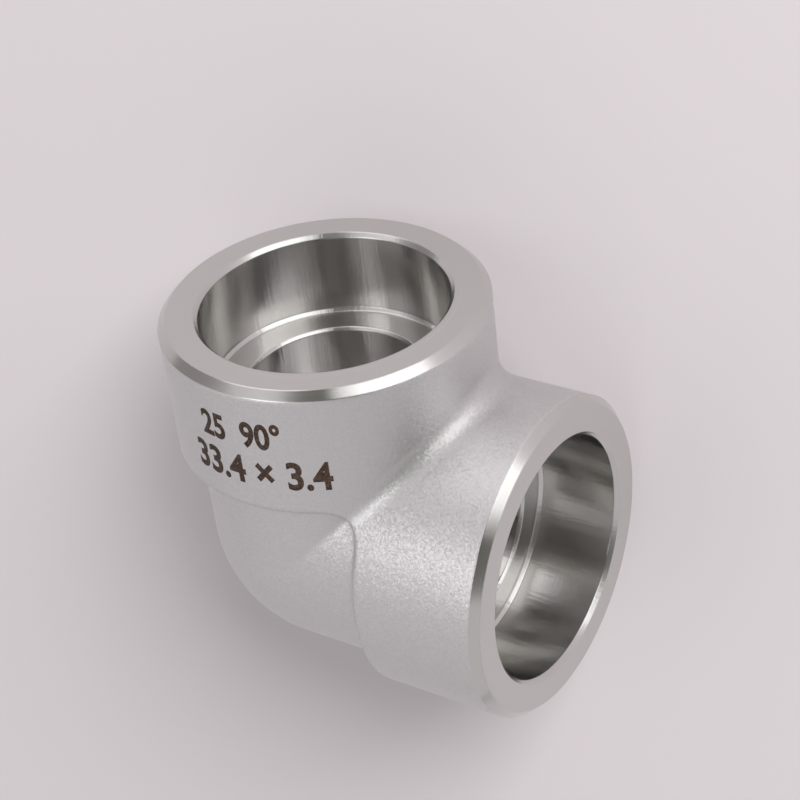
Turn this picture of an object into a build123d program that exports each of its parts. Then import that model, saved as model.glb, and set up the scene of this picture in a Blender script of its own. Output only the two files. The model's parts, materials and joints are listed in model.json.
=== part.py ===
from build123d import *
import os
from math import acos, asin, atan2, degrees, hypot, isclose, radians, sin, sqrt, tan

# Ninety degree socket weld elbow for 1 inch pipe, forged in one piece and machined at both mouths.
# Millimetres, +Z up. The axes of the two sockets cross at the origin. It is modelled with one socket
# along +X and the other along +Y, the heel of the bend towards -X -Y, and then laid down at rest.

# The pipe and the socket it is welded into
pipe_diameter = 33.4
pipe_clearance = 0.7
socket_depth = 12.5
socket_corner_chamfer = 0.5
bore_mouth_chamfer = 0.6
centre_to_seat = 20.9

# The waterway, drilled from both mouths until the two holes meet
waterway_bore = 24.3
waterway_edge_chamfer = 0.4
waterway_overshoot = 6.0
drill_point_angle = 118.0

# The collar around each socket and the slimmer neck behind it
socket_wall = 5.45
mouth_chamfer = 1.1
centre_to_shoulder = 14.2
shoulder_step = 2.7
shoulder_chamfer = 0.6

# Roundings left by the forging dies
crotch_radius = 3.0
shoulder_corner_radius = 5.0
forging_fillet = 1.5
largest_fillet_per_step = 0.55

# Sizes that follow from the ones above
socket_radius = (pipe_diameter + pipe_clearance) / 2
waterway_radius = waterway_bore / 2
collar_radius = socket_radius + socket_wall
neck_radius = collar_radius - shoulder_step
centre_to_mouth = centre_to_seat + socket_depth
drill_point_length = waterway_radius / tan(radians(drill_point_angle / 2))
root_fillet = min(forging_fillet, largest_fillet_per_step * shoulder_step)

# How it lies on a table: on the rims of both collars and on the ball of the heel, with both legs
# raised by the same angle
rim_reach = centre_to_shoulder + shoulder_chamfer
leg_rise = acos(neck_radius / hypot(rim_reach, collar_radius)) - atan2(rim_reach, collar_radius)
rest_tilt = degrees(asin(sqrt(2) * sin(leg_rise)))

# Each leg's profile plane, with the way out of the mouth as its local X, and its turning axis
legs = [
    (Plane.XY, Axis.X),
    (Plane(origin=(0, 0, 0), x_dir=(0, 1, 0), z_dir=(0, 0, -1)), Axis.Y),
]


def ring(radius, distance):
    """Test for circular edges of this radius whose centre lies this far from the bend's centre."""
    tolerance = 0.001

    def fits(edge):
        return (
            edge.geom_type == GeomType.CIRCLE
            and isclose(edge.radius, radius, abs_tol=tolerance)
            and isclose(edge.arc_center.length, distance, abs_tol=tolerance)
        )

    return fits


with BuildPart() as fitting:
    # Collars: two turned drums, kept only beyond the shoulders, which meet in a rounded corner
    for plane, axis in legs:
        with BuildSketch(plane):
            with BuildLine():
                Polyline(
                    (0, 0),
                    (0, collar_radius),
                    (centre_to_mouth - mouth_chamfer, collar_radius),
                    (centre_to_mouth, collar_radius - mouth_chamfer),
                    (centre_to_mouth, 0),
                    close=True,
                )
            make_face()
        revolve(axis=axis)
    with BuildSketch(Plane.XY.offset(-collar_radius)):
        with BuildLine():
            Polyline(
                (centre_to_shoulder, -collar_radius),
                (centre_to_shoulder, centre_to_shoulder),
                (-collar_radius, centre_to_shoulder),
                (-collar_radius, centre_to_mouth),
                (centre_to_mouth, centre_to_mouth),
                (centre_to_mouth, -collar_radius),
                close=True,
            )
        make_face()
        shoulder_corner = vertices().sort_by_distance((centre_to_shoulder, centre_to_shoulder))[0]
        fillet(shoulder_corner, shoulder_corner_radius)
    extrude(amount=2 * collar_radius, mode=Mode.INTERSECT)

    # Necks: slimmer drums that run from the heel into the collars
    for plane, axis in legs:
        with BuildSketch(plane):
            with Locations((centre_to_shoulder / 2, neck_radius / 2)):
                Rectangle(centre_to_shoulder, neck_radius)
        revolve(axis=axis)

    # Heel: the quarter of a ball that closes the bend where the necks' axes cross
    with BuildSketch(Plane.XZ):
        with BuildLine():
            Line((0, -neck_radius), (0, neck_radius))
            ThreePointArc((0, neck_radius), (-neck_radius, 0), (0, -neck_radius))
        make_face()
    revolve(axis=Axis.Z, revolution_arc=90)

    # Shoulder roots and the valley between the necks, in one blend. The roots are a ring round each
    # neck and, where the shoulders turn into each other, four curves nearer to the bend than the rims
    neck_mitre = edges().filter_by(GeomType.ELLIPSE).group_by(Axis.X)[0]
    straight_roots = edges().filter_by(ring(neck_radius, centre_to_shoulder))
    corner_roots = edges().filter_by(GeomType.BSPLINE).sort_by_distance((0, 0, 0))[:4]
    fillet(straight_roots + corner_roots + neck_mitre, root_fillet)

    # Crotch: the valley between the two collars
    collar_mitre = edges().filter_by(GeomType.ELLIPSE).group_by(Axis.X)[-1]
    fillet(collar_mitre, crotch_radius)

    # Shoulder rims
    chamfer(edges().filter_by(ring(collar_radius, centre_to_shoulder)), shoulder_chamfer)

    # Waterway and socket of each leg, cut in one turned profile from the drill point to the mouth
    for plane, axis in legs:
        with BuildSketch(plane):
            with BuildLine():
                Polyline(
                    (-waterway_overshoot - drill_point_length, 0),
                    (-waterway_overshoot, waterway_radius),
                    (centre_to_seat - waterway_edge_chamfer, waterway_radius),
                    (centre_to_seat, waterway_radius + waterway_edge_chamfer),
                    (centre_to_seat, socket_radius - socket_corner_chamfer),
                    (centre_to_seat + socket_corner_chamfer, socket_radius),
                    (centre_to_mouth - bore_mouth_chamfer, socket_radius),
                    (centre_to_mouth + bore_mouth_chamfer, socket_radius + 2 * bore_mouth_chamfer),
                    (centre_to_mouth + bore_mouth_chamfer, 0),
                    close=True,
                )
            make_face()
        revolve(axis=axis, mode=Mode.SUBTRACT)

# The fitting tipped back onto its heel
with BuildPart() as elbow_body:
    add(fitting.part.rotate(Axis((0, 0, 0), (1, -1, 0)), rest_tilt))

elbow_body.part.label = "elbow_body"

os.makedirs("parts", exist_ok=True)
export_step(elbow_body.part, "parts/elbow_body.step")
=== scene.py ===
import json
from math import cos, pi, radians, sin

import bmesh
import bpy
from mathutils import Matrix, Vector


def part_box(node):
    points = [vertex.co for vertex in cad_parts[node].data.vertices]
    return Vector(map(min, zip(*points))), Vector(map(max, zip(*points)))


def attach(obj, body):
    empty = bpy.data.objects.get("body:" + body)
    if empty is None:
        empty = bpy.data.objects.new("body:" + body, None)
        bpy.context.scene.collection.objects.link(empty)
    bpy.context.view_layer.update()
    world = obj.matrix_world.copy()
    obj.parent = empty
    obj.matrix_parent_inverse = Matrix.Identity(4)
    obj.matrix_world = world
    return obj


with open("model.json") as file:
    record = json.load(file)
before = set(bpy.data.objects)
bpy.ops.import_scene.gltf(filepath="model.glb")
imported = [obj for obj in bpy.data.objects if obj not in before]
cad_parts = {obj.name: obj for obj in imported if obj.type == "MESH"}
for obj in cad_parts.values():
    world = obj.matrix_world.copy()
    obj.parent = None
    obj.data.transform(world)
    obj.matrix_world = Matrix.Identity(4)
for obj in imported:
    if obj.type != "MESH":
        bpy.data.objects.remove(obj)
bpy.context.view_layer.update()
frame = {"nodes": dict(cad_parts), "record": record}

# Elbow body
# One forging of stainless steel, bead blasted all over. The mouth faces, their chamfers, the two
# sockets with their seats and the waterway are turned afterwards and stay bright.
mm = 0.001
mounts = {mount["name"]: mount for mount in frame["record"]["mounts"]}
bore_x = Vector(mounts["socket_x"]["axis"]).normalized()
bore_y = Vector(mounts["socket_y"]["axis"]).normalized()
bore_z = bore_x.cross(bore_y).normalized()
from_bores = Matrix((bore_x, bore_y, bore_z)).transposed()


class Shader:
    """The node tree of one material or of the world, with a short call for each kind of node."""

    rays = 8

    def __init__(self, owner):
        owner.use_nodes = True
        self.owner = owner
        self.nodes = owner.node_tree.nodes
        self.links = owner.node_tree.links

    def add(self, kind, inputs=(), **settings):
        """A new node with these settings; inputs are (socket, value or output) pairs."""
        node = self.nodes.new("ShaderNode" + kind)
        for name, value in settings.items():
            setattr(node, name, value)
        for socket, value in inputs:
            self.feed(node.inputs[socket], value)
        return node

    def feed(self, socket, value):
        if isinstance(value, bpy.types.NodeSocket):
            self.links.new(value, socket)
        else:
            socket.default_value = value

    def number(self, operation, *values):
        return self.add("Math", enumerate(values), operation=operation).outputs[0]

    def vector(self, operation, *values):
        return self.add("VectorMath", enumerate(values), operation=operation).outputs[0]

    def scaled(self, vector, scale):
        return self.add("VectorMath", ((0, vector), ("Scale", scale)), operation="SCALE").outputs[0]

    def dot(self, first, second):
        return self.add("VectorMath", enumerate((first, second)), operation="DOT_PRODUCT").outputs[1]

    def length(self, vector):
        return self.add("VectorMath", ((0, vector),), operation="LENGTH").outputs[1]

    def point(self, x, y, z):
        return self.add("CombineXYZ", enumerate((x, y, z))).outputs[0]

    def separate(self, vector):
        return self.add("SeparateXYZ", ((0, vector),)).outputs

    def noise(self, place, scale, detail=3.0, roughness=0.6):
        sockets = (("Vector", place), ("Scale", scale), ("Detail", detail), ("Roughness", roughness))
        return self.add("TexNoise", sockets).outputs["Fac"]

    def ramp(self, value, low, high):
        """A smooth rise from 0 to 1 as the value goes from low to high."""
        sockets = enumerate((value, low, high))
        return self.add("MapRange", sockets, interpolation_type="SMOOTHSTEP").outputs[0]

    def colour_mix(self, share, first, second):
        sockets = ((0, share), (6, first), (7, second))
        return self.add("Mix", sockets, data_type="RGBA").outputs[2]

    def number_mix(self, share, first, second):
        return self.add("Mix", ((0, share), (2, first), (3, second))).outputs[0]

    def vector_mix(self, share, first, second):
        sockets = ((0, share), (4, first), (5, second))
        return self.add("Mix", sockets, data_type="VECTOR").outputs[1]

    def rounded_edges(self, radius):
        return self.add("Bevel", (("Radius", radius),), samples=self.rays).outputs[0]

    def open_sky(self, reach):
        """How much of the sky a point sees past what lies within reach of it, from 0 to 1."""
        return self.add("AmbientOcclusion", (("Distance", reach),), samples=self.rays).outputs["AO"]

    def bump(self, height, distance, normal=None):
        node = self.add("Bump", (("Height", height), ("Distance", distance)))
        if normal is not None:
            self.links.new(normal, node.inputs["Normal"])
        return node.outputs[0]


steel = Shader(bpy.data.materials.new("stainless_steel"))
surface = steel.nodes["Principled BSDF"]
here = steel.add("TexCoord").outputs["Object"]

# Millimetres along each bore and square to both
x = steel.dot(here, bore_x / mm)
y = steel.dot(here, bore_y / mm)
z = steel.dot(here, bore_z / mm)
place = steel.point(x, y, z)
on_leg_x = steel.number("GREATER_THAN", x, y)
along = steel.number("MAXIMUM", x, y)
across = steel.number("MINIMUM", x, y)
from_axis = steel.length(steel.point(across, z, 0.0))
from_centre = steel.length(place)

# Machined: inside the bores, in the bend where they meet, and from the mouth's chamfer outwards
centre_to_mouth = 33.4
mouth_chamfer = 1.1
margin = 0.02
inside_radius = 18.5
near_axis = steel.number("LESS_THAN", from_axis, inside_radius)
past_centre = steel.number("GREATER_THAN", along, 0.0)
in_leg = steel.number("MULTIPLY", near_axis, past_centre)
in_bend = steel.number("LESS_THAN", from_centre, inside_radius)
inside = steel.number("MAXIMUM", in_leg, in_bend)
at_mouth = steel.number("GREATER_THAN", along, centre_to_mouth - mouth_chamfer - margin)
turned = steel.number("MAXIMUM", inside, at_mouth)

# Blasted skin: a shallow unevenness from the forging, under facets a fifth of a millimetre wide
uneven_per_mm = 2.0
uneven_depth = 0.03 * mm
facets_per_mm = 5.0
facet_lean = 0.15
skin_edge_radius = 1.0 * mm
uneven = steel.noise(place, uneven_per_mm, detail=2.0)
skin = steel.bump(uneven, uneven_depth, steel.rounded_edges(skin_edge_radius))
facets = steel.add("TexVoronoi", (("Vector", place), ("Scale", facets_per_mm)))
facet_tilt = steel.vector("SUBTRACT", facets.outputs["Color"], (0.5, 0.5, 0.5))
skin = steel.vector("NORMALIZE", steel.vector("ADD", skin, steel.scaled(facet_tilt, facet_lean)))

# Turned finish: rings left by the tool, and faint chatter along the bore
rings_per_mm = 4.0
ring_depth = 0.008 * mm
turned_edge_radius = 0.3 * mm
ring_place = steel.scaled(steel.point(along, from_axis, 0.0), rings_per_mm)
rings = steel.noise(ring_place, 1.0)
lathe = steel.bump(rings, ring_depth, steel.rounded_edges(turned_edge_radius))

chatter_marks = 26.0
chatter_drift = 0.004
chatter_depth = 0.025 * mm
turn_cosine = steel.number("DIVIDE", across, from_axis)
turn_sine = steel.number("DIVIDE", z, from_axis)
turn_angle = steel.point(turn_cosine, turn_sine, steel.number("MULTIPLY", along, chatter_drift))
chatter = steel.number("MULTIPLY", steel.noise(turn_angle, chatter_marks), inside)
lathe = steel.bump(chatter, chatter_depth, lathe)

# The lathe's tool runs round the bore, so reflections stretch square to that
round_x = steel.vector("CROSS_PRODUCT", tuple(bore_x), here)
round_y = steel.vector("CROSS_PRODUCT", tuple(bore_y), here)
around = steel.vector_mix(on_leg_x, round_y, round_x)
facing = steel.add("NewGeometry").outputs["Normal"]
stretch = steel.vector("NORMALIZE", steel.vector("CROSS_PRODUCT", around, facing))

# Two greys for the skin's facets, a darker grey painted as shade in its grooves and hollows, and bright
# steel where turned
blasted_dark = (0.635, 0.625, 0.63, 1.0)
blasted_light = (0.69, 0.68, 0.685, 1.0)
painted_groove_shade = (0.36, 0.345, 0.335, 1.0)
turned_steel = (0.63, 0.622, 0.605, 1.0)
blasted_roughness = 0.45
turned_roughness = 0.20
turned_stretch = 0.85
# Painted shade: how far the sky test reaches, and the shares of open sky at which the painted groove
# shade is full and where it ends
painted_shade_reach = 2.2 * mm
painted_shade_full_sky = 0.55
painted_shade_end_sky = 0.97
facet_grey = steel.separate(facets.outputs["Color"])[0]
blasted = steel.colour_mix(facet_grey, blasted_dark, blasted_light)
# Painted shade: the skin's colour turns to the darker grey where nearby steel hides the sky, in the
# shoulder roots, grooves and the crotch of the bend
clear_of_painted_shade = steel.ramp(steel.open_sky(painted_shade_reach), painted_shade_full_sky, painted_shade_end_sky)
blasted = steel.colour_mix(clear_of_painted_shade, painted_groove_shade, blasted)
steel.feed(surface.inputs["Base Color"], steel.colour_mix(turned, blasted, turned_steel))
steel.feed(surface.inputs["Roughness"], steel.number_mix(turned, blasted_roughness, turned_roughness))
steel.feed(surface.inputs["Anisotropic"], steel.number("MULTIPLY", turned, turned_stretch))
steel.feed(surface.inputs["Tangent"], stretch)
steel.feed(surface.inputs["Normal"], steel.vector_mix(turned, skin, lathe))
surface.inputs["Metallic"].default_value = 1.0

body = frame["nodes"]["elbow_body"]
for slot in body.material_slots:
    slot.material = steel.owner

# Size marks
# Two rows of plain numbers burnt into the blasted skin of the Y socket's collar by a laser: the nominal
# bore and the angle, then a pipe's diameter and wall. The oxide is brown and follows the collar.
collar_radius = 22.5
oxide_top = 0.015
oxide_depth = 0.045
strip = 0.5
weld_distance = 0.001
cut_tolerance = 0.0001
stroke_gain = 0.028
glyph_curve_steps = 6

# Each row: its words, its foot's place along the bore, its height, and the angles of its two ends.
# The two signs written as codes are the degree sign and the multiplication sign.
mark_rows = [
    ("25  90\u00b0", 24.4, 4.3, 104.5, 73.0),
    ("33.4 \u00d7 3.4", 18.4, 4.5, 110.0, 57.5),
]

# The oxide: burnt brown in two tones, in blotches under half a millimetre wide, slightly rough
dark_brown = (0.032, 0.017, 0.010, 1.0)
light_brown = (0.085, 0.055, 0.038, 1.0)
blotches_per_metre = 2600.0
oxide_roughness_depth = 0.03 * mm
oxide = Shader(bpy.data.materials.new("laser_oxide"))
mottle = oxide.noise(oxide.add("TexCoord").outputs["Object"], blotches_per_metre, roughness=0.7)
burn = oxide.nodes["Principled BSDF"]
brown = oxide.colour_mix(oxide.ramp(mottle, 0.35, 0.7), dark_brown, light_brown)
oxide.feed(burn.inputs["Base Color"], brown)
oxide.feed(burn.inputs["Normal"], oxide.bump(mottle, oxide_roughness_depth))
burn.inputs["Roughness"].default_value = 0.55
burn.inputs["Specular IOR Level"].default_value = 0.25


def share_of_span(value, values):
    """How far a value lies from the lowest to the highest of these values, from 0 to 1."""
    return (value - min(values)) / (max(values) - min(values))


for number, (words, foot, height, first_angle, last_angle) in enumerate(mark_rows, start=1):
    letters = bpy.data.curves.new("letters", "FONT")
    letters.body = words
    letters.offset = stroke_gain
    letters.resolution_u = glyph_curve_steps
    flat = bpy.data.objects.new("letters", letters)
    mesh = bpy.data.meshes.new_from_object(flat)
    bpy.data.objects.remove(flat)
    wide = radians(first_angle - last_angle) * collar_radius
    across_row = [vertex.co.x for vertex in mesh.vertices]
    up_row = [vertex.co.y for vertex in mesh.vertices]
    for vertex in mesh.vertices:
        vertex.co.x = share_of_span(vertex.co.x, across_row) * wide
        vertex.co.y = share_of_span(vertex.co.y, up_row) * height

    # Cut into strips that can follow the curve, all facing out, and given the oxide's thickness
    cut = bmesh.new()
    cut.from_mesh(mesh)
    bmesh.ops.remove_doubles(cut, verts=cut.verts, dist=weld_distance)
    for step in range(1, int(wide / strip) + 1):
        bmesh.ops.bisect_plane(
            cut,
            geom=cut.verts[:] + cut.edges[:] + cut.faces[:],
            dist=cut_tolerance,
            plane_co=(step * strip, 0.0, 0.0),
            plane_no=(1.0, 0.0, 0.0),
        )
    cut.normal_update()
    for face in cut.faces:
        if face.normal.z < 0.0:
            face.normal_flip()
    bmesh.ops.solidify(cut, geom=cut.faces[:], thickness=oxide_depth)

    # Wrapped round the collar
    highest = max(vertex.co.z for vertex in cut.verts)
    for vertex in cut.verts:
        angle = radians(first_angle) - vertex.co.x / collar_radius
        radius = collar_radius + oxide_top - (highest - vertex.co.z)
        on_collar = Vector((radius * cos(angle), foot + vertex.co.y, radius * sin(angle)))
        vertex.co = from_bores @ on_collar * mm
    bmesh.ops.recalc_face_normals(cut, faces=cut.faces)
    cut.to_mesh(mesh)
    cut.free()
    mesh.materials.clear()
    mesh.materials.append(oxide.owner)
    mark = bpy.data.objects.new(f"size_marks_{number}", mesh)
    bpy.context.scene.collection.objects.link(mark)
    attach(mark, "root")

# Table
# A pale sheet under the elbow, wide enough to fill every view, with the elbow's own shadow on it.
table_width = 6.0
pale_grey = (0.695, 0.652, 0.668, 1.0)
bpy.ops.mesh.primitive_plane_add(size=table_width, location=(0.0, 0.0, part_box("elbow_body")[0].z))
table = bpy.context.object
table.name = "table"
paper = Shader(bpy.data.materials.new("pale_table"))
paper.nodes["Principled BSDF"].inputs["Base Color"].default_value = pale_grey
paper.nodes["Principled BSDF"].inputs["Roughness"].default_value = 0.8
table.data.materials.append(paper.owner)

# Light
# A pale room with a dark side, which the turned steel mirrors as dark bands, a dimmer corner, and
# soft panels. Directions are an azimuth from +X towards +Y and a height above the table, in degrees.
wall_grey = (0.64, 0.62, 0.63, 1.0)
corner_grey = (0.32, 0.29, 0.295, 1.0)
dark_grey = (0.115, 0.112, 0.094, 1.0)
room = Shader(bpy.data.worlds.new("room"))
away = room.add("TexCoord").outputs["Generated"]


def direction(azimuth, height):
    level = cos(radians(height))
    return Vector((level * cos(radians(azimuth)), level * sin(radians(azimuth)), sin(radians(height))))


def patch(azimuth, height, edge, core):
    """A round patch of the room: 1 within core degrees of its middle, fading to 0 at edge degrees."""
    return room.ramp(room.dot(away, direction(azimuth, height)), cos(radians(edge)), cos(radians(core)))


def soft_panel(name, azimuth, height, distance, wide, tall, glow):
    """A lamp that faces the elbow, of this size in metres; at a glow of 1 it is as bright as white."""
    lamp = bpy.data.lights.new(name, "AREA")
    lamp.shape = "RECTANGLE"
    lamp.size = wide
    lamp.size_y = tall
    lamp.energy = glow * pi * wide * tall
    panel = bpy.data.objects.new(name, lamp)
    panel.location = direction(azimuth, height) * distance
    panel.rotation_euler = direction(azimuth, height).to_track_quat("Z", "Y").to_euler()
    panel.visible_camera = False
    bpy.context.scene.collection.objects.link(panel)
    return panel


dark_side = room.number("MAXIMUM", patch(18.0, 48.0, 31.0, 20.0), patch(73.0, 52.0, 25.0, 14.0))
walls = room.colour_mix(patch(155.0, 3.0, 42.0, 12.0), wall_grey, corner_grey)
walls = room.colour_mix(dark_side, walls, dark_grey)
room.feed(room.nodes["Background"].inputs["Color"], walls)
bpy.context.scene.world = room.owner

# Two panels show only as reflections in the steel, and the table's lamp isn't mirrored at all
soft_panel("front_panel", 50.0, 21.0, 0.9, 0.80, 0.70, 1.25)
side_panel = soft_panel("side_panel", 115.0, 16.0, 0.9, 0.50, 0.48, 1.0)
side_panel.visible_diffuse = False
top_panel = soft_panel("top_panel", 152.0, 70.0, 0.9, 0.46, 0.46, 1.8)
top_panel.visible_diffuse = False
table_lamp = soft_panel("table_lamp", 53.0, 33.0, 1.7, 0.75, 0.75, 13.0)
table_lamp.visible_glossy = False

# Camera
# It looks down on the two mouths, as the photograph does, with the Y socket upright in the picture.
camera = bpy.data.objects.new("camera", bpy.data.cameras.new("camera"))
bpy.context.scene.collection.objects.link(camera)
camera_place = from_bores @ (Vector((147.911, 179.437, 189.517)) * mm)
aim = from_bores @ (Vector((2.514, 10.670, -10.814)) * mm)
camera_roll = 7.423
back = (camera_place - aim).normalized()
right = bore_y.cross(back).normalized()
up = back.cross(right)
turned_camera = Matrix((right, up, back)).transposed() @ Matrix.Rotation(radians(-camera_roll), 3, "Z")
camera.matrix_world = Matrix.Translation(camera_place) @ turned_camera.to_4x4()
camera.data.sensor_width = 36.0
camera.data.lens = 94.751
bpy.context.scene.camera = camera

bpy.context.scene.view_settings.view_transform = "Standard"
